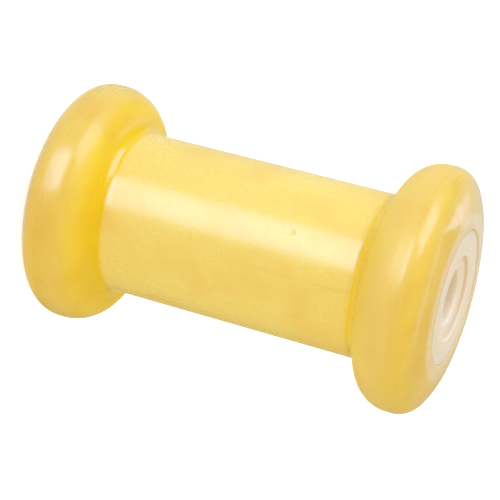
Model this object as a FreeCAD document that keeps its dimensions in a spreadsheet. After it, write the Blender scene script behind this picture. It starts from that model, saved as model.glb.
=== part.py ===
# Boat trailer roller: a soft vinyl spool moulded over a rigid plastic core that carries a through bore.
# Millimetres. The axis is +Z. The roller stands on one end, with the origin at the middle of that end.

import FreeCAD, Part
import math
import os
import Sketcher

# Driving sizes. Each is set by itself, and everything else is worked out from them.
sizes = {
    "overall_length": 130.0,      # from end ring to end ring
    "barrel_radius": 25.4,        # the straight middle that carries the keel
    "barrel_wall": 3.9,           # vinyl over the core along the barrel
    "flange_radius": 37.8,
    "crest_land": 1.5,            # short cylindrical crest between the two rounds of a flange
    "root_depth": 26.0,           # from the end ring down to where the barrel runs straight
    "root_fillet": 4.5,           # blends the barrel into the flank of a flange
    "end_ring_width": 1.35,       # flat ring that the roller stands on
    "end_round_depth": 9.4,       # from the end ring down to the crest of the flange
    "end_corner_radius": 7.0,     # the tighter of the two arcs of the end round, next to the crest
    "core_recess": 0.25,          # the core's face lies this far inside the end ring
    "core_chamfer": 0.75,         # core's outer edge, which the vinyl wraps
    "bore_radius": 8.25,          # running fit on a 16 mm shaft
    "bore_chamfer": 0.8,
    "counterbore_radius": 12.8,   # shallow sunk ring round the mouth of the bore
    "counterbore_depth": 1.2,
    "counterbore_round": 0.5,
    "key_count": 4,               # rings that lock the vinyl on the core
    "key_pitch": 26.0,
    "key_width": 6.0,             # at the surface of the core
    "key_depth": 1.5,
    "key_slope": 1.0,             # how much each side of a key leans in over its depth
}

document = FreeCAD.newDocument("boat_trailer_roller")


def make_sheet():
    sheet = document.addObject("Spreadsheet::Sheet", "Sizes")
    for row, (name, number) in enumerate(sizes.items(), start=1):
        sheet.set(f"A{row}", name)
        sheet.set(f"B{row}", str(number))
        sheet.setAlias(f"B{row}", name)
    document.recompute()
    return sheet


sheet = make_sheet()


def size(name):
    return float(sheet.get(name))


# Expressions that more than one feature uses.
HALF_LENGTH = "Sizes.overall_length / 2"
CORE_RADIUS = "(Sizes.barrel_radius - Sizes.barrel_wall)"
FACE_HEIGHT = "(Sizes.overall_length / 2 - Sizes.core_recess)"
KEY_SPAN = "(Sizes.key_count - 1) * Sizes.key_pitch"

# The same values as numbers, where an outline starts before its constraints settle it.
half_length = size("overall_length") / 2
core_radius = size("barrel_radius") - size("barrel_wall")
face_height = half_length - size("core_recess")
face_radius = core_radius - size("core_chamfer")
key_span = (size("key_count") - 1) * size("key_pitch")

# Positions on a sketch element, and the sketch's own origin and axis.
START, END, CENTRE = 1, 2, 3
ORIGIN = (-1, 1)
AXIS_X = -1


def point(x, y):
    return FreeCAD.Vector(x, y, 0)


def line(sketch, start, end):
    return sketch.addGeometry(Part.LineSegment(point(*start), point(*end)), False)


def arc(sketch, centre, radius, first_angle, last_angle):
    circle = Part.Circle(point(*centre), FreeCAD.Vector(0, 0, 1), radius)
    return sketch.addGeometry(Part.ArcOfCircle(circle, first_angle, last_angle), False)


def relate(sketch, kind, *elements):
    sketch.addConstraint(Sketcher.Constraint(kind, *elements))


def bind(sketch, kind, elements, start, expression):
    """Adds a dimension that starts at a number and follows an expression on the sheet."""
    index = sketch.addConstraint(Sketcher.Constraint(kind, *elements, start))
    sketch.setExpression(f"Constraints[{index}]", expression)


def origin_feature(body, role):
    return next(feature for feature in body.Origin.OriginFeatures if feature.Role == role)


def section_sketch(body, name):
    """A half section: x is the radius and y the height above the middle of the roller."""
    sketch = body.newObject("Sketcher::SketchObject", name)
    sketch.AttachmentSupport = [(origin_feature(body, "XZ_Plane"), "")]
    sketch.MapMode = "FlatFace"
    return sketch


def turn(body, kind, name, sketch):
    """A full turn of a half section about the roller's axis, added or cut away."""
    feature = body.newObject(kind, name)
    feature.Profile = sketch
    feature.ReferenceAxis = (sketch, ["V_Axis"])
    feature.Angle = 360
    document.recompute()
    return feature


def mirror_to_other_end(body, name, feature):
    mirrored = body.newObject("PartDesign::Mirrored", name)
    mirrored.Originals = [feature]
    mirrored.MirrorPlane = (origin_feature(body, "XY_Plane"), [""])
    body.Tip = mirrored
    document.recompute()


def repeat_keys(body, name, feature):
    pattern = body.newObject("PartDesign::LinearPattern", name)
    pattern.Originals = [feature]
    pattern.Direction = (origin_feature(body, "Z_Axis"), [""])
    pattern.setExpression("Length", KEY_SPAN)
    pattern.setExpression("Occurrences", "Sizes.key_count")
    body.Tip = pattern
    document.recompute()


def stand_up(body):
    """Both pieces are drawn about the middle of the roller and lifted to stand on the origin."""
    body.setExpression("Placement.Base.z", HALF_LENGTH)
    document.recompute()


def rings_at(shape, radius, height):
    """Names of the circular edges of one radius at one height, above and below the middle."""
    names = []
    for number, edge in enumerate(shape.Edges, start=1):
        curve = edge.Curve
        if not isinstance(curve, Part.Circle):
            continue
        middle = curve.Center
        if abs(curve.Radius - radius) < 1e-4 and abs(abs(middle.z) - height) < 1e-4:
            names.append(f"Edge{number}")
    return names


def dress(body, kind, name, radius, height, dimension, expression):
    """A chamfer or fillet round the rings of one radius and height, at both ends."""
    base = body.Tip
    feature = body.newObject(kind, name)
    feature.Base = (base, rings_at(base.Shape, radius, height))
    feature.setExpression(dimension, expression)
    body.Tip = feature
    document.recompute()


def key_section(body, name):
    """One key: a ring of trapezoid section that reaches from the core's surface into it."""
    sketch = section_sketch(body, name)
    inner = core_radius - size("key_depth")
    low = -key_span / 2 - size("key_width") / 2
    high = low + size("key_width")
    slope = size("key_slope")

    surface = line(sketch, (core_radius, low), (core_radius, high))
    upper = line(sketch, (core_radius, high), (inner, high - slope))
    floor = line(sketch, (inner, high - slope), (inner, low + slope))
    lower = line(sketch, (inner, low + slope), (core_radius, low))
    outline = (surface, upper, floor, lower)
    for first, second in zip(outline, outline[1:] + outline[:1]):
        relate(sketch, "Coincident", first, END, second, START)
    relate(sketch, "Vertical", surface)
    relate(sketch, "Vertical", floor)

    bind(sketch, "DistanceX", (*ORIGIN, surface, START), core_radius, CORE_RADIUS)
    bind(sketch, "DistanceX", (floor, START, surface, END), size("key_depth"), "Sizes.key_depth")
    bind(sketch, "DistanceY", (surface, START, surface, END), size("key_width"), "Sizes.key_width")
    bind(sketch, "DistanceY", (floor, START, surface, END), slope, "Sizes.key_slope")
    bind(sketch, "DistanceY", (surface, START, floor, END), slope, "Sizes.key_slope")
    bind(sketch, "DistanceY", (surface, START, *ORIGIN), -low, f"{KEY_SPAN} / 2 + Sizes.key_width / 2")
    return sketch


def spool_section(body):
    """Upper half of the vinyl's section, from its seat on the core round the flange to the barrel."""
    sketch = section_sketch(body, "spool_section")
    recess = size("core_recess")
    ring_inner = face_radius + recess
    ring_outer = ring_inner + size("end_ring_width")
    barrel = size("barrel_radius")
    crest = size("flange_radius")
    fillet = size("root_fillet")
    corner = size("end_corner_radius")
    depth = size("end_round_depth")

    # The end round is two tangent arcs: a wide one that leaves the end ring level, and the
    # corner arc that turns into the crest. The wide one's radius follows from the other sizes.
    across = crest - corner - ring_outer
    wide = (across ** 2 + depth ** 2 - corner ** 2) / (2 * (depth - corner))
    crest_top = half_length - depth
    corner_centre = (crest - corner, crest_top)
    wide_centre = (ring_outer, half_length - wide)
    join = math.atan2(corner_centre[1] - wide_centre[1], across)

    # The inner flank is one round from the crest down to the root fillet. The two are tangent, and
    # the flank's radius follows from where the barrel ends.
    crest_low = crest_top - size("crest_land")
    barrel_end = half_length - size("root_depth")
    reach = crest - barrel
    drop = crest_low - barrel_end
    flank = (reach ** 2 + drop ** 2) / (2 * reach) - fillet
    flank_centre = (crest - flank, crest_low)
    root_centre = (barrel + fillet, barrel_end)
    lean = math.atan2(drop, root_centre[0] - flank_centre[0])

    quarter = math.pi / 2
    seat_top = face_height - size("core_chamfer")
    seat = line(sketch, (core_radius, 0), (core_radius, seat_top))
    wrap = line(sketch, (core_radius, seat_top), (face_radius, face_height))
    lip = arc(sketch, (ring_inner, face_height), recess, quarter, 2 * quarter)
    ring = line(sketch, (ring_inner, half_length), (ring_outer, half_length))
    end_arc = arc(sketch, wide_centre, wide, join, quarter)
    corner_arc = arc(sketch, corner_centre, corner, 0, join)
    land = line(sketch, (crest, crest_top), (crest, crest_low))
    flank_arc = arc(sketch, flank_centre, flank, 4 * quarter - lean, 4 * quarter)
    root_arc = arc(sketch, root_centre, fillet, 2 * quarter - lean, 2 * quarter)
    side = line(sketch, (barrel, root_centre[1]), (barrel, 0))
    middle = line(sketch, (barrel, 0), (core_radius, 0))

    relate(sketch, "Coincident", seat, END, wrap, START)
    relate(sketch, "Coincident", wrap, END, lip, END)
    relate(sketch, "Tangent", lip, START, ring, START)
    relate(sketch, "Tangent", ring, END, end_arc, END)
    relate(sketch, "Tangent", end_arc, START, corner_arc, END)
    relate(sketch, "Tangent", corner_arc, START, land, START)
    relate(sketch, "Tangent", land, END, flank_arc, END)
    relate(sketch, "Tangent", flank_arc, START, root_arc, START)
    relate(sketch, "Tangent", root_arc, END, side, START)
    relate(sketch, "Coincident", side, END, middle, START)
    relate(sketch, "Coincident", middle, END, seat, START)
    for upright in (seat, land, side):
        relate(sketch, "Vertical", upright)
    relate(sketch, "Horizontal", ring)
    relate(sketch, "Horizontal", middle)
    relate(sketch, "PointOnObject", seat, START, AXIS_X)
    relate(sketch, "Horizontal", lip, END, lip, CENTRE)

    bind(sketch, "DistanceX", (*ORIGIN, side, END), barrel, "Sizes.barrel_radius")
    bind(sketch, "DistanceX", (seat, START, side, END), size("barrel_wall"), "Sizes.barrel_wall")
    bind(sketch, "DistanceX", (wrap, END, wrap, START), size("core_chamfer"), "Sizes.core_chamfer")
    bind(sketch, "DistanceY", (wrap, START, wrap, END), size("core_chamfer"), "Sizes.core_chamfer")
    bind(sketch, "DistanceY", (wrap, END, ring, START), recess, "Sizes.core_recess")
    bind(sketch, "DistanceY", (*ORIGIN, ring, START), half_length, HALF_LENGTH)
    bind(sketch, "DistanceX", (ring, START, ring, END), size("end_ring_width"), "Sizes.end_ring_width")
    bind(sketch, "Radius", (corner_arc,), corner, "Sizes.end_corner_radius")
    bind(sketch, "DistanceY", (land, START, ring, END), depth, "Sizes.end_round_depth")
    bind(sketch, "DistanceX", (*ORIGIN, land, START), crest, "Sizes.flange_radius")
    bind(sketch, "DistanceY", (land, END, land, START), size("crest_land"), "Sizes.crest_land")
    bind(sketch, "DistanceY", (side, START, ring, START), size("root_depth"), "Sizes.root_depth")
    bind(sketch, "Radius", (root_arc,), fillet, "Sizes.root_fillet")
    return sketch


def make_roller_body():
    """The soft vinyl moulding: barrel, two rounded flanges, end lips and the keys inside its seat."""
    body = document.addObject("PartDesign::Body", "roller_body")
    body.Label = "roller_body"
    spool = turn(body, "PartDesign::Revolution", "half_spool", spool_section(body))
    mirror_to_other_end(body, "whole_spool", spool)
    key = turn(body, "PartDesign::Revolution", "key_ring", key_section(body, "key_section"))
    repeat_keys(body, "key_rings", key)
    stand_up(body)
    return body


def sleeve_section(body):
    """Upper half of the core's section: bore, sunk ring at its mouth, flat face and outside."""
    sketch = section_sketch(body, "sleeve_section")
    bore = size("bore_radius")
    sunk = size("counterbore_radius")
    sunk_height = face_height - size("counterbore_depth")

    inside = line(sketch, (bore, 0), (bore, sunk_height))
    floor = line(sketch, (bore, sunk_height), (sunk, sunk_height))
    wall = line(sketch, (sunk, sunk_height), (sunk, face_height))
    face = line(sketch, (sunk, face_height), (core_radius, face_height))
    outside = line(sketch, (core_radius, face_height), (core_radius, 0))
    middle = line(sketch, (core_radius, 0), (bore, 0))
    outline = (inside, floor, wall, face, outside, middle)
    for first, second in zip(outline, outline[1:] + outline[:1]):
        relate(sketch, "Coincident", first, END, second, START)
    for upright in (inside, wall, outside):
        relate(sketch, "Vertical", upright)
    for level in (floor, face, middle):
        relate(sketch, "Horizontal", level)
    relate(sketch, "PointOnObject", inside, START, AXIS_X)

    bind(sketch, "DistanceX", (*ORIGIN, inside, START), bore, "Sizes.bore_radius")
    bind(sketch, "DistanceX", (*ORIGIN, wall, START), sunk, "Sizes.counterbore_radius")
    bind(sketch, "DistanceX", (*ORIGIN, outside, END), core_radius, CORE_RADIUS)
    bind(sketch, "DistanceY", (wall, START, wall, END), size("counterbore_depth"), "Sizes.counterbore_depth")
    bind(sketch, "DistanceY", (*ORIGIN, face, START), face_height, FACE_HEIGHT)
    return sketch


def make_core_sleeve():
    """The white core: a through sleeve, sunk round the bore at both ends, grooved for the vinyl's keys."""
    body = document.addObject("PartDesign::Body", "core_sleeve")
    body.Label = "core_sleeve"
    sleeve = turn(body, "PartDesign::Revolution", "half_sleeve", sleeve_section(body))
    mirror_to_other_end(body, "whole_sleeve", sleeve)
    groove = turn(body, "PartDesign::Groove", "key_groove", key_section(body, "groove_section"))
    repeat_keys(body, "key_grooves", groove)

    sunk_height = face_height - size("counterbore_depth")
    dress(body, "PartDesign::Chamfer", "outer_chamfer", core_radius, face_height, "Size", "Sizes.core_chamfer")
    dress(body, "PartDesign::Chamfer", "bore_chamfer", size("bore_radius"), sunk_height,
          "Size", "Sizes.bore_chamfer")
    dress(body, "PartDesign::Fillet", "sunk_rim_round", size("counterbore_radius"), face_height,
          "Radius", "Sizes.counterbore_round")
    dress(body, "PartDesign::Fillet", "sunk_floor_round", size("counterbore_radius"), sunk_height,
          "Radius", "Sizes.counterbore_round")
    stand_up(body)
    return body


def check_model():
    for item in document.Objects:
        faults = [state for state in item.State if state in ("Invalid", "Error")]
        if faults:
            raise RuntimeError(f"{item.Name} is {faults}")


def write_parts(bodies):
    for body in bodies:
        shape = body.Shape
        if shape.isNull() or not shape.isValid() or len(shape.Solids) != 1:
            raise RuntimeError(f"{body.Label} is not one valid solid")
    os.makedirs("parts", exist_ok=True)
    for body in bodies:
        body.Shape.exportStep(f"parts/{body.Label}.step")
        print(body.Label, round(body.Shape.Volume / 1000, 2), "cubic centimetres")


pieces = [make_roller_body(), make_core_sleeve()]
document.recompute()
check_model()
write_parts(pieces)
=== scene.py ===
import bpy
import math
from mathutils import Matrix, Vector


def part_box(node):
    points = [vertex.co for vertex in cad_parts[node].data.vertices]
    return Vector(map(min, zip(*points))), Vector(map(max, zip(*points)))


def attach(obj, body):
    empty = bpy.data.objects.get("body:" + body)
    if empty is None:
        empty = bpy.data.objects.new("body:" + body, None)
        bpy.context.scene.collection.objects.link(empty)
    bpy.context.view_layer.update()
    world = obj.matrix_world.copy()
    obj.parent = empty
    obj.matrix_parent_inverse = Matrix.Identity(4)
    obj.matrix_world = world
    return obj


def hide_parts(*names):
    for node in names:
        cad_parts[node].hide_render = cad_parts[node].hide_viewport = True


# Boat trailer roller: a soft yellow vinyl spool moulded over a white plastic core.
# Metres. The roller stands on one end, and its axis is +Z.

mm = 0.001
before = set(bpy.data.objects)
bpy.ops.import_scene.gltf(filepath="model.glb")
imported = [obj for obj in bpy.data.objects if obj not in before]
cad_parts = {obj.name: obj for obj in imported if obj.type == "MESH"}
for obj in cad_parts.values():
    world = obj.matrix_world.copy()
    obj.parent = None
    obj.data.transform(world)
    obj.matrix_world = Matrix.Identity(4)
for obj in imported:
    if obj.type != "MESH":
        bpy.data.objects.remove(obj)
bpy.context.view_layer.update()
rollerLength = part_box("roller_body")[1].z
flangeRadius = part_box("roller_body")[1].x
halfLength = rollerLength / 2
print("frame loaded, length", round(rollerLength / mm, 2), "mm")


# One output of a node. Python's operators on it add Math nodes.
class Wire:
    def __init__(self, tree, socket):
        self.tree = tree
        self.socket = socket

    def maths(self, operation, *terms):
        sockets = dict(enumerate(terms))
        return self.tree.node("ShaderNodeMath", {"operation": operation}, sockets)

    def __add__(self, other):
        return self.maths("ADD", self, other)

    def __radd__(self, other):
        return self.maths("ADD", other, self)

    def __sub__(self, other):
        return self.maths("SUBTRACT", self, other)

    def __rsub__(self, other):
        return self.maths("SUBTRACT", other, self)

    def __mul__(self, other):
        return self.maths("MULTIPLY", self, other)

    def __rmul__(self, other):
        return self.maths("MULTIPLY", other, self)

    def __truediv__(self, other):
        return self.maths("DIVIDE", self, other)

    def __pow__(self, other):
        return self.maths("POWER", self, other)

    def least(self, other):
        return self.maths("MINIMUM", self, other)

    def most(self, other):
        return self.maths("MAXIMUM", self, other)

    def size(self):
        return self.maths("ABSOLUTE", self)

    # 0 below low, 1 above high, and smooth between. A high under a low falls instead.
    def rise(self, low, high):
        first, last = (0, 1) if low < high else (1, 0)
        settings = {"interpolation_type": "SMOOTHSTEP"}
        sockets = {"Value": self, "From Min": min(low, high), "From Max": max(low, high),
                   "To Min": first, "To Max": last}
        return self.tree.node("ShaderNodeMapRange", settings, sockets)

    # 1 at a place, and 0 from a reach away on both sides.
    def near(self, place, reach):
        return (self - place).size().rise(reach, 0)


# A node tree with one way to add a node: its type, its settings, then its sockets.
class Tree:
    def __init__(self, nodeTree):
        self.nodeTree = nodeTree
        self.nodeTree.nodes.clear()

    def node(self, kind, settings=None, sockets=None, output=0):
        added = self.nodeTree.nodes.new(kind)
        for name, value in (settings or {}).items():
            setattr(added, name, value)
        for name, value in (sockets or {}).items():
            if isinstance(value, Wire):
                self.nodeTree.links.new(value.socket, added.inputs[name])
            else:
                added.inputs[name].default_value = value
        return Wire(self, added.outputs[output]) if len(added.outputs) else added

    # Blends two colours. Wires of colours and plain colours both do.
    def blend(self, amount, first, second, how="MIX"):
        settings = {"data_type": "RGBA", "blend_type": how, "clamp_factor": True}
        return self.node("ShaderNodeMix", settings, {0: amount, 6: first, 7: second}, output=2)

    def noise(self, place, scale, detail=2.0, distortion=0.0):
        sockets = {"Vector": place, "Scale": scale, "Detail": detail, "Distortion": distortion}
        return self.node("ShaderNodeTexNoise", None, sockets)

    # A place, stretched or squeezed along each axis.
    def scaled(self, place, factors):
        return self.node("ShaderNodeVectorMath", {"operation": "MULTIPLY"}, {0: place, 1: factors})

    # How far a direction goes along another.
    def along(self, way, axis):
        return self.node("ShaderNodeVectorMath", {"operation": "DOT_PRODUCT"}, {0: way, 1: axis}, output=1)

    def parts(self, place):
        return [self.node("ShaderNodeSeparateXYZ", None, {0: place}, output=axis) for axis in range(3)]

    def joined(self, x, y, z):
        return self.node("ShaderNodeCombineXYZ", None, {0: x, 1: y, 2: z})


def newMaterial(name):
    material = bpy.data.materials.new(name)
    material.use_nodes = True
    return material, Tree(material.node_tree)


# A colour as a paint chart gives it, 0 to 255, made linear for the shader.
def colour(red, green, blue):
    def linear(value):
        share = value / 255
        return share / 12.92 if share <= 0.04045 else ((share + 0.055) / 1.055) ** 2.4
    return (linear(red), linear(green), linear(blue), 1.0)


camera = {
    "elevation": 18.87,    # degrees above the floor
    "roll": 105.10,        # the roller's axis lies across the picture, a little down to the right
    "lens": 119.88,        # millimetres on a 36 mm sensor
    "distance": 510.44 * mm,
    "right": 1.23 * mm,    # the roller's middle, right of and above the picture's own
    "above": 1.83 * mm,
}


def makeCamera():
    data = bpy.data.cameras.new("camera")
    data.lens = camera["lens"]
    data.sensor_width = 36
    data.clip_start = 0.01
    data.clip_end = 20
    seen = bpy.data.objects.new("camera", data)
    bpy.context.scene.collection.objects.link(seen)
    tilt = Matrix.Rotation(math.radians(90 - camera["elevation"]), 4, "X")
    turn = tilt @ Matrix.Rotation(math.radians(camera["roll"]), 4, "Z")
    offset = turn @ Vector((camera["right"], camera["above"], -camera["distance"]))
    seen.matrix_world = Matrix.Translation(Vector((0, 0, halfLength)) - offset) @ turn
    bpy.context.scene.camera = seen


makeCamera()
print("camera placed")

studio = {
    "floorSize": 6.0,
    "floorColour": colour(238, 238, 238),
    "floorGlow": 0.72,        # what the floor gives to the camera by itself, so that it shows white
    "roomLight": 0.76,        # the even light from all round
    "backdrop": (-0.935, 0.062, -0.349),   # the way to the middle of a pale backdrop that gloss sees
    "backdropEdge": (0.02, 0.045),
    "mirrorBright": 0.60,     # how bright gloss sees the backdrop,
    "mirrorDark": 0.32,       # the rest of the room
    "mirrorFloor": 1.00,      # and the floor
    "boxColour": colour(150, 188, 255),    # daylight, cooler than the room
    "darkColour": (1.0, 0.78, 0.42, 1.0),  # what gloss sees away from the backdrop
    "floorSeen": (-0.35, -0.75),           # how steeply down gloss looks where it starts to see the floor
}

# Soft lamps: place, width, power and colour.
lamps = {
    "key": {"place": (-0.75, -0.25, 0.45), "size": 0.60, "power": 3.1, "colour": (0.84, 0.97, 1.6)},
    "fill": {"place": (0.55, -0.70, 0.40), "size": 0.70, "power": 1.5, "colour": (1.1, 0.97, 0.85)},
    "back": {"place": (0.20, 0.80, 0.60), "size": 0.70, "power": 1.4, "colour": (1.0, 1.0, 1.0)},
}

# Softboxes that gloss sees. Azimuth 0 is in front and 90 on the +X side, in degrees, as are half the
# width and half the height. The edge is the share of the half width at which the light starts to fade.
softboxes = {
    "front": {"azimuth": -20, "elevation": -9, "width": 27, "height": 29, "edge": 0.4, "strength": 8.0},
    "side": {"azimuth": -64, "elevation": 36, "width": 26, "height": 23, "edge": 0.6, "strength": 5.2},
    "strip": {"azimuth": 180, "elevation": 58, "width": 30, "height": 8, "edge": 0.2, "strength": 0.8},
}
# One more, seen only where the backdrop is. Its light fades slower in height.
window = {"azimuth": -171, "elevation": 42, "width": 12.5, "height": 28, "edge": 0.85, "fade": 0.1,
          "strength": 1.7}
# A dark gap in the backdrop beside it.
gap = {"azimuth": -128, "elevation": 32, "width": 22, "height": 28, "edge": 0.4, "strength": 0.5}
# The far wall, which gloss sees edge on and only away from the backdrop.
farWall = {"azimuth": 180, "elevation": -5, "width": 30, "height": 38, "edge": 0.5, "strength": 0.25}


def makeFloor():
    bpy.ops.object.select_all(action="DESELECT")
    bpy.ops.mesh.primitive_plane_add(size=studio["floorSize"])
    floor = bpy.context.object
    floor.name = "studio_floor"
    material, tree = newMaterial("floor_paint")
    toCamera = tree.node("ShaderNodeLightPath", output=0)
    paint = tree.node("ShaderNodeBsdfDiffuse", None, {"Color": studio["floorColour"]})
    glow = tree.node("ShaderNodeEmission", None, {"Strength": studio["floorGlow"]})
    both = tree.node("ShaderNodeAddShader", None, {0: paint, 1: glow})
    shown = tree.node("ShaderNodeMixShader", None, {0: toCamera, 1: paint, 2: both})
    tree.node("ShaderNodeOutputMaterial", None, {"Surface": shown})
    floor.data.materials.append(material)
    floor.visible_glossy = False


# A soft patch of light in one direction, as wide and as tall as its softbox.
def softPatch(tree, way, box):
    azimuth, elevation = math.radians(box["azimuth"]), math.radians(box["elevation"])
    level = Vector((math.sin(azimuth), -math.cos(azimuth), 0))
    ahead = level * math.cos(elevation) + Vector((0, 0, math.sin(elevation)))
    across = Vector((0, 0, 1)).cross(ahead).normalized()
    upward = ahead.cross(across)

    def within(axis, halfAngle, edge):
        reach = math.tan(math.radians(halfAngle))
        return (tree.along(way, axis) / depth).size().rise(reach, reach * edge)

    inFront = tree.along(way, ahead)
    depth = inFront.most(0.01)
    wide = within(across, box["width"], box["edge"])
    high = within(upward, box["height"], box.get("fade", box["edge"]))
    return wide * high * inFront.rise(0, 0.1) * box["strength"]


def makeWorld():
    world = bpy.data.worlds.new("studio")
    bpy.context.scene.world = world
    world.use_nodes = True
    world.cycles.sampling_method = "NONE"
    tree = Tree(world.node_tree)
    toCamera = tree.node("ShaderNodeLightPath", output=0)
    toGloss = tree.node("ShaderNodeLightPath", output=3)
    way = tree.node("ShaderNodeTexCoord", output=0)
    litSide = tree.along(way, studio["backdrop"]).rise(*studio["backdropEdge"])
    downward = tree.along(way, (0, 0, 1)).rise(*studio["floorSeen"])
    dark = studio["mirrorDark"] + softPatch(tree, way, farWall)
    mirror = dark + litSide * (studio["mirrorBright"] - dark)
    mirror = mirror.most(downward * studio["mirrorFloor"]) - softPatch(tree, way, gap)
    room = mirror * toGloss + studio["roomLight"] * (1 - toGloss)
    wallColour = tree.blend(toGloss * (1 - litSide), (1, 1, 1, 1), studio["darkColour"])
    walls = tree.node("ShaderNodeBackground", None, {
        "Color": wallColour, "Strength": toCamera + room * (1 - toCamera)})
    patches = sum(softPatch(tree, way, box) for box in softboxes.values())
    patches += softPatch(tree, way, window) * litSide
    boxes = tree.node("ShaderNodeBackground", None, {
        "Color": studio["boxColour"], "Strength": patches * toGloss * (1 - toCamera)})
    light = tree.node("ShaderNodeAddShader", None, {0: walls, 1: boxes})
    tree.node("ShaderNodeOutputWorld", None, {"Surface": light})


def makeLamps():
    for name, lamp in lamps.items():
        data = bpy.data.lights.new(name, "AREA")
        data.shape = "SQUARE"
        data.size = lamp["size"]
        data.energy = lamp["power"]
        data.color = lamp["colour"]
        shone = bpy.data.objects.new(name, data)
        bpy.context.scene.collection.objects.link(shone)
        place = Vector(lamp["place"])
        aim = Vector((0, 0, halfLength)) - place
        shone.matrix_world = Matrix.Translation(place) @ aim.to_track_quat("-Z", "Y").to_matrix().to_4x4()
        shone.visible_camera = False
        shone.visible_glossy = False


makeFloor()
makeWorld()
makeLamps()
bpy.context.scene.view_settings.view_transform = "Standard"
print("studio lit with", len(lamps), "lamps")

spool = {
    "barrelRadius": 25.4 * mm,
    "seatRadius": 21.5 * mm,      # where the vinyl grips the core
    "crestLand": 1.5 * mm,
    "rootDepth": 26.0 * mm,       # from the end to where the barrel runs straight
    "rootFillet": 4.5 * mm,
    "endRingInner": 21.0 * mm,    # flat ring that the roller stands on
    "endRingOuter": 22.35 * mm,
    "endRoundDepth": 9.4 * mm,
    "cornerRadius": 7.0 * mm,
    "lipRadius": 0.25 * mm,
    "faceRadius": 20.75 * mm,     # the lip's inner edge, on the core's face
    "wrap": 0.75 * mm,            # the vinyl wraps the core's chamfered edge
    "turns": 256,                 # divisions round the roller
    "smoothAngle": 35,            # degrees, under which two faces meet without an edge
}
# Divisions of each stretch of the half outline, from the barrel's middle to the seat.
bays = {"barrel": 30, "root": 12, "flank": 26, "crest": 2, "corner": 12, "end": 12, "ring": 2, "lip": 6,
        "seat": 4}
closeEnough = 0.001 * mm


def startOutline(name, radius, height):
    bpy.ops.object.select_all(action="DESELECT")
    bpy.ops.mesh.primitive_plane_add(size=mm)
    piece = bpy.context.object
    piece.name = name
    bpy.ops.object.mode_set(mode="EDIT")
    bpy.ops.mesh.select_all(action="SELECT")
    bpy.ops.mesh.merge(type="CENTER")
    bpy.ops.transform.translate(value=(radius, 0, height))
    return piece


# Lengthens the outline by a straight run, in equal bays.
def run(right, up, steps=1):
    for step in range(steps):
        move = {"value": (right / steps, 0, up / steps)}
        bpy.ops.mesh.extrude_region_move(TRANSFORM_OT_translate=move)


# Lengthens the outline by an arc about a centre. A positive turn takes +X towards +Z.
def arc(radius, height, turn, steps):
    centre = (radius, 0, height)
    bpy.ops.mesh.spin(steps=steps, angle=abs(turn), center=centre, axis=(0, 1 if turn > 0 else -1, 0))


def closeShape():
    bpy.ops.mesh.select_all(action="SELECT")
    bpy.ops.mesh.remove_doubles(threshold=closeEnough)
    bpy.ops.mesh.normals_make_consistent(inside=False)


# Turns a half outline about the roller's axis, mirrors it to the other end and stands it on the floor.
def turnAndMirror(piece):
    bpy.ops.mesh.select_all(action="SELECT")
    bpy.ops.mesh.spin(steps=spool["turns"], angle=2 * math.pi, center=(0, 0, 0), axis=(0, 0, 1))
    closeShape()
    bpy.ops.object.mode_set(mode="OBJECT")
    mirror = piece.modifiers.new("other_end", "MIRROR")
    mirror.use_axis = (False, False, True)
    mirror.merge_threshold = closeEnough
    bpy.ops.object.modifier_apply(modifier=mirror.name)
    bpy.ops.object.mode_set(mode="EDIT")
    closeShape()
    bpy.ops.transform.translate(value=(0, 0, halfLength))
    bpy.ops.object.mode_set(mode="OBJECT")


def makeSpool():
    crestHeight = halfLength - spool["endRoundDepth"]
    landLow = crestHeight - spool["crestLand"]
    rootHeight = halfLength - spool["rootDepth"]
    reach, drop = flangeRadius - spool["barrelRadius"], landLow - rootHeight
    rounds = (reach ** 2 + drop ** 2) / (2 * reach)    # the flank's and the root's radius together
    flank = rounds - spool["rootFillet"]
    lean = math.atan2(drop, rounds - reach)
    across = flangeRadius - spool["cornerRadius"] - spool["endRingOuter"]
    depth, corner = spool["endRoundDepth"], spool["cornerRadius"]
    wide = (across ** 2 + depth ** 2 - corner ** 2) / (2 * (depth - corner))
    join = math.atan2(crestHeight - (halfLength - wide), across)
    quarter = math.pi / 2

    piece = startOutline("roller_vinyl", spool["barrelRadius"], 0)
    run(0, rootHeight, bays["barrel"])
    arc(spool["barrelRadius"] + spool["rootFillet"], rootHeight, -lean, bays["root"])
    arc(flangeRadius - flank, landLow, lean, bays["flank"])
    run(0, spool["crestLand"], bays["crest"])
    arc(flangeRadius - corner, crestHeight, join, bays["corner"])
    arc(spool["endRingOuter"], halfLength - wide, quarter - join, bays["end"])
    run(spool["endRingInner"] - spool["endRingOuter"], 0, bays["ring"])
    arc(spool["endRingInner"], halfLength - spool["lipRadius"], quarter, bays["lip"])
    run(spool["seatRadius"] - spool["faceRadius"], -spool["wrap"])
    run(0, -(halfLength - spool["lipRadius"] - spool["wrap"]), bays["seat"])
    turnAndMirror(piece)
    bpy.ops.object.shade_smooth_by_angle(angle=math.radians(spool["smoothAngle"]))
    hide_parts("roller_body")
    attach(piece, "root")
    print("spool turned,", len(piece.data.polygons), "faces")
    return piece


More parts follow.
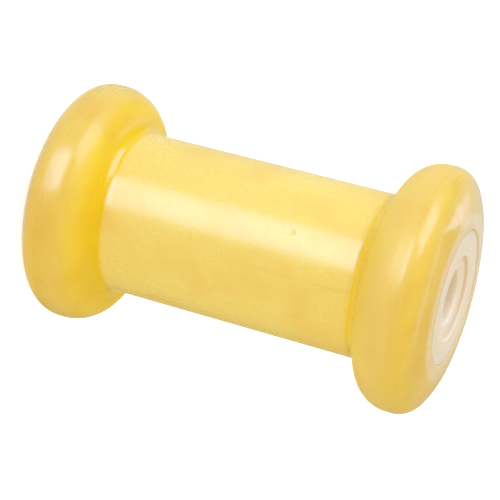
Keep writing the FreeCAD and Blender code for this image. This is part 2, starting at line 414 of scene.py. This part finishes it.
vinyl = {
    "barrelColour": colour(254, 222, 113),     # pale, because the white core lies close under it
    "flangeColour": colour(248, 213, 60),
    "crestColour": colour(241, 206, 90),
    "rootColour": colour(247, 208, 28),        # the deepest amber, where the vinyl is thick
    "endColour": colour(240, 204, 96),
    "wrapColour": colour(246, 220, 162),       # thin over the core's edge, so nearly as pale as the core
    "clearColour": colour(240, 200, 90),       # patches that are a little clearer
    "wornColour": colour(240, 211, 138),       # rubbed dull
    "edgeColour": colour(250, 230, 170),       # painted pale reflection and glow where it is seen edge on
    "scuffColour": colour(222, 178, 70),
    "clearTint": 0.9,
    "wornTint": 0.14,
    "edgeTint": 0.15,
    "lineTint": 0.25,
    "dotTint": 0.5,
    "wander": 0.32,         # millimetres, over which the edge of the flange's colour wavers
    "subsurface": 0.5,
    "scatter": 0.35 * mm,   # how far light goes under the surface
    "coat": 0.25,
    "polishedCoat": 0.1,    # more of it on the polished ends
    "sheen": 0.05,
    "grainStrength": 0.05,
    "roughness": 0.20,
}
# What each look adds to the vinyl's roughness, and the share of it that smooth places take away.
roughening = {"cloud": 0.10, "grain": 0.05, "worn": 0.35, "lines": 0.3, "flank": 0.2, "barrel": 0.08}
smoothing = {"polish": 0.7, "fillet": 0.5}
grainDepth = 0.05 * mm
# The vinyl's patterns. A scale is in waves to the metre, more or less.
patterns = {
    "wander": {"scale": 90.0},
    "cloud": {"scale": 60.0, "detail": 3.0, "distortion": 0.4},
    "grain": {"scale": 900.0},
    "haze": {"scale": 260.0},
    "waves": {"scale": 110.0},
    "ripples": {"scale": 330.0, "detail": 1.0},
    "flow": {"scale": 700.0, "detail": 1.0},
    "lines": {"scale": 160.0, "width": 0.02},
    "dots": {"scale": 90.0, "size": 0.03},
}
# How far a pattern is squeezed, so that it draws out along the roller or round it.
squeeze = {"lengthwise": 0.06, "around": 0.12}
# Heights and places of the vinyl's relief, in millimetres, with sides in degrees round from +X.
relief = {
    "waves": 0.22,
    "ripples": 0.09,
    "flow": 0.008,
    "parting": 0.03,
    "partingSide": -137,         # where the mould's halves met, and again opposite
    "partingReach": 0.7,         # degrees
    "dent": 0.18,
    "dentSide": -103.5,          # one small dent in the barrel
    "dentUp": 83.9,              # above the lower end
    "dentReach": (1.1, 0.2),
}
# Where each look of the vinyl starts and where it is full, in millimetres from the nearer end
fromEnd = {
    "flange": (25.5, 24.6),
    "root": (25.5, 24.2),
    "fillet": (26.4, 25.6),
    "flank": (17, 20),
    "end": (6.0, 1.5),
    "polish": (4.5, 3.2),
    "flow": (3, 7),
    "wrap": (1.0, 0.4),
}
# and from the axis.
fromAxis = {
    "barrel": (26.5, 25.8),
    "fillet": (28, 26.8),
    "flank": (26.8, 28.5),
    "root": (35, 30),
    "crest": (33.0, 37.8),
    "wrap": (27.0, 24.6),
    "ripples": (27, 33),
    "flow": (26, 28),
    "dent": (27, 26),
}
# The worn band on the upper crest, in millimetres above the lower end.
upperWear = {"over": (105, 109), "under": (121.8, 120.5)}


# Where a point of the roller is: millimetres from the axis, above the lower end and from the nearer
# end, and degrees round the axis from +X. The slant is 0 face on and 1 edge on.
def whereOn(tree):
    place = tree.node("ShaderNodeTexCoord", output=3)
    x, y, z = tree.parts(place)
    radius = (x * x + y * y) ** 0.5
    across, away = x * squeeze["around"], y * squeeze["around"]
    return {
        "place": place,
        "lengthwise": tree.scaled(place, (1, 1, squeeze["lengthwise"])),
        "around": tree.joined(across + radius, away, z),
        "radius": radius / mm,
        "up": z / mm,
        "height": z.least(rollerLength - z) / mm,
        "side": y.maths("ARCTAN2", y, x) * (180 / math.pi),
        "slant": tree.node("ShaderNodeLayerWeight", None, {"Blend": 0.5}, output=1),
    }


# Fine wandering lines: the places where a noise crosses its middle.
def hairlines(tree, place, scale, width):
    crossing = (tree.noise(place, scale, detail=1.0) - 0.5).size().rise(width, 0)
    few = tree.noise(place, scale * 0.35, detail=1.0).rise(0.54, 0.62)
    return crossing * few


# Tiny dark specks in some of a Voronoi texture's cells.
def specks(tree, place, scale, size):
    sockets = {"Vector": place, "Scale": scale}
    distance = tree.node("ShaderNodeTexVoronoi", None, sockets)
    cell = tree.node("ShaderNodeTexVoronoi", None, sockets, output=1)
    chosen = tree.node("ShaderNodeSeparateColor", None, {0: cell})
    return distance.rise(size, size * 0.4) * chosen.rise(0.78, 0.80)


def vinylTone(tree, spot, cloud, worn, scuffs):
    radius, height = spot["radius"], spot["height"]
    wander = (tree.noise(spot["place"], **patterns["wander"]) - 0.5) * vinyl["wander"]
    # Painted light: the colour turns pale where the surface is seen edge on, standing in for reflection and
    # glow at the rims.
    edge = spot["slant"].rise(0.72, 1.0)
    zones = {
        "flangeColour": (height + wander).rise(*fromEnd["flange"]),
        "crestColour": radius.rise(*fromAxis["crest"]),
        "rootColour": height.rise(*fromEnd["root"]) * radius.rise(*fromAxis["root"]),
        "endColour": height.rise(*fromEnd["end"]),
        "wrapColour": height.rise(*fromEnd["wrap"]) * radius.rise(*fromAxis["wrap"]),
    }
    tone = vinyl["barrelColour"]
    for name, amount in zones.items():
        tone = tree.blend(amount, tone, vinyl[name])
    tone = tree.blend((cloud - 0.45) * vinyl["clearTint"], tone, vinyl["clearColour"], how="MULTIPLY")
    tone = tree.blend(worn * vinyl["wornTint"], tone, vinyl["wornColour"])
    # Painted pale reflection at the edge-on rims.
    tone = tree.blend(edge * vinyl["edgeTint"], tone, vinyl["edgeColour"])
    return tree.blend(scuffs, tone, vinyl["scuffColour"])


# Height of the surface in millimetres: slow waves, finer ripples and streaks on the flanges, the mould's
# parting line and one dent.
def vinylRelief(tree, spot):
    side, radius = spot["side"], spot["radius"]

    def pattern(name, place):
        return tree.noise(spot[place], **patterns[name]) * relief[name]

    ripples = pattern("ripples", "around") * radius.rise(*fromAxis["ripples"])
    onFlange = spot["height"].rise(*fromEnd["flow"]) * radius.rise(*fromAxis["flow"])
    flow = pattern("flow", "around") * onFlange
    seam = side.near(relief["partingSide"], relief["partingReach"])
    opposite = side.near(relief["partingSide"] + 180, relief["partingReach"])
    parting = seam.most(opposite) * relief["parting"]
    across = (side - relief["dentSide"]) * (math.radians(1) * spool["barrelRadius"] / mm)
    along = spot["up"] - relief["dentUp"]
    dent = ((across * across + along * along) ** 0.5).rise(*relief["dentReach"])
    dent = dent * radius.rise(*fromAxis["dent"]) * relief["dent"]
    return pattern("waves", "place") + ripples + flow + parting - dent


# The flanges are rubbed dull in patches, and most on the upper crest.
def rubbed(tree, spot, barrel):
    haze = tree.noise(spot["around"], **patterns["haze"]).rise(0.40, 0.62)
    upperCrest = spot["up"].rise(*upperWear["over"]) * spot["up"].rise(*upperWear["under"])
    return (1 - barrel) * (haze * 0.35).most(upperCrest * (haze * 0.4 + 0.6))


def makeVinyl():
    material, tree = newMaterial("moulded_vinyl")
    spot = whereOn(tree)
    radius, height = spot["radius"], spot["height"]
    cloud = tree.noise(spot["place"], **patterns["cloud"])
    grain = tree.noise(spot["place"], **patterns["grain"])
    barrel = radius.rise(*fromAxis["barrel"])
    lines = hairlines(tree, spot["lengthwise"], **patterns["lines"]) * vinyl["lineTint"] * barrel
    dots = specks(tree, spot["place"], **patterns["dots"]) * vinyl["dotTint"] * barrel
    worn = rubbed(tree, spot, barrel)
    polish = height.rise(*fromEnd["polish"])
    flank = radius.rise(*fromAxis["flank"]) * height.rise(*fromEnd["flank"])
    fillet = radius.rise(*fromAxis["fillet"]) * height.rise(*fromEnd["fillet"])

    rough = vinyl["roughness"] + (cloud - 0.5) * roughening["cloud"] + (grain - 0.5) * roughening["grain"]
    rough = rough + worn * roughening["worn"] + lines * roughening["lines"]
    rough = rough + flank * roughening["flank"] + barrel * roughening["barrel"]
    smooth = (polish * smoothing["polish"]).most(fillet * smoothing["fillet"])
    dull = worn.most(spot["slant"].rise(0.75, 0.98)) * 0.8
    surface = tree.node("ShaderNodeBump", None, {
        "Strength": 1.0, "Distance": mm, "Height": vinylRelief(tree, spot)})
    normal = tree.node("ShaderNodeBump", None, {
        "Strength": vinyl["grainStrength"], "Distance": grainDepth, "Height": grain, "Normal": surface})
    skin = tree.node("ShaderNodeBsdfPrincipled", {"subsurface_method": "RANDOM_WALK"}, {
        "Base Color": vinylTone(tree, spot, cloud, worn, lines.most(dots)),
        "Roughness": rough * (1 - smooth), "Normal": normal, "IOR": 1.5,
        "Subsurface Weight": vinyl["subsurface"], "Subsurface Radius": (1.0, 0.7, 0.2),
        "Subsurface Scale": vinyl["scatter"],
        "Coat Weight": vinyl["coat"] * (1 - dull) + polish * vinyl["polishedCoat"], "Coat Roughness": 0.08,
        "Sheen Weight": vinyl["sheen"], "Sheen Roughness": 0.4})
    tree.node("ShaderNodeOutputMaterial", None, {"Surface": skin})
    return material


corePlastic = {
    "faceColour": colour(238, 219, 185),
    "shadeColour": colour(228, 207, 171),    # faint rings left by turning
    "paintedBoreGlow": colour(249, 231, 203),     # painted glow: lighter inside the bore, standing in for light through the white plastic
    "edgeColour": colour(240, 214, 150),     # where the vinyl's colour bleeds into the face's rim
    "shadeTint": 0.5,
    "edgeTint": 0.5,
    "cloud": {"scale": 120.0, "detail": 3.0},
    "grain": {"scale": 1500.0},
    "rings": {"scale": 900.0},
    "ringWander": 0.06,          # how little a ring changes on its way round
    "roughness": 0.60,
    "cloudRoughness": 0.12,
    "grainStrength": 0.15,
    "scatter": 3 * mm,
    "edgeRound": 1.3 * mm,       # the edges are rubbed round
    # Where each look starts and is full, in millimetres from the axis. Under the lip nothing is rubbed.
    "roundWithin": (19, 17.5),
    "bore": (9.0, 8.4),
    "rim": (19.4, 21.2),
}


def makeCorePlastic():
    material, tree = newMaterial("core_plastic")
    place = tree.node("ShaderNodeTexCoord", output=3)
    x, y, z = tree.parts(place)
    distance = (x * x + y * y) ** 0.5
    radius = distance / mm
    cloud = tree.noise(place, **corePlastic["cloud"])
    grain = tree.noise(place, **corePlastic["grain"])
    outward = tree.joined(distance, x * corePlastic["ringWander"], y * corePlastic["ringWander"])
    rings = tree.noise(outward, **corePlastic["rings"]).rise(0.35, 0.7)
    rim = radius.rise(*corePlastic["rim"]) * corePlastic["edgeTint"]
    tone = tree.blend(rings * corePlastic["shadeTint"], corePlastic["faceColour"], corePlastic["shadeColour"])
    # Painted glow inside the bore, as if lit through the plastic.
    tone = tree.blend(radius.rise(*corePlastic["bore"]), tone, corePlastic["paintedBoreGlow"])
    tone = tree.blend(rim, tone, corePlastic["edgeColour"])
    rough = corePlastic["roughness"] + (cloud - 0.5) * corePlastic["cloudRoughness"]
    flat = tree.node("ShaderNodeNewGeometry", output=1)
    rounded = tree.node("ShaderNodeBevel", {"samples": 6}, {"Radius": corePlastic["edgeRound"]})
    worn = tree.blend(radius.rise(*corePlastic["roundWithin"]), flat, rounded)
    normal = tree.node("ShaderNodeBump", None, {
        "Strength": corePlastic["grainStrength"], "Distance": grainDepth, "Height": grain, "Normal": worn})
    skin = tree.node("ShaderNodeBsdfPrincipled", None, {
        "Base Color": tone, "Roughness": rough, "Normal": normal, "IOR": 1.5, "Subsurface Weight": 1.0,
        "Subsurface Radius": (1.0, 0.9, 0.7), "Subsurface Scale": corePlastic["scatter"]})
    tree.node("ShaderNodeOutputMaterial", None, {"Surface": skin})
    return material


vinylPiece = makeSpool()
vinylPiece.data.materials.clear()
vinylPiece.data.materials.append(makeVinyl())
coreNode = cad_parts["core_sleeve"]
coreNode.data.materials.clear()
coreNode.data.materials.append(makeCorePlastic())
print("finishes made")
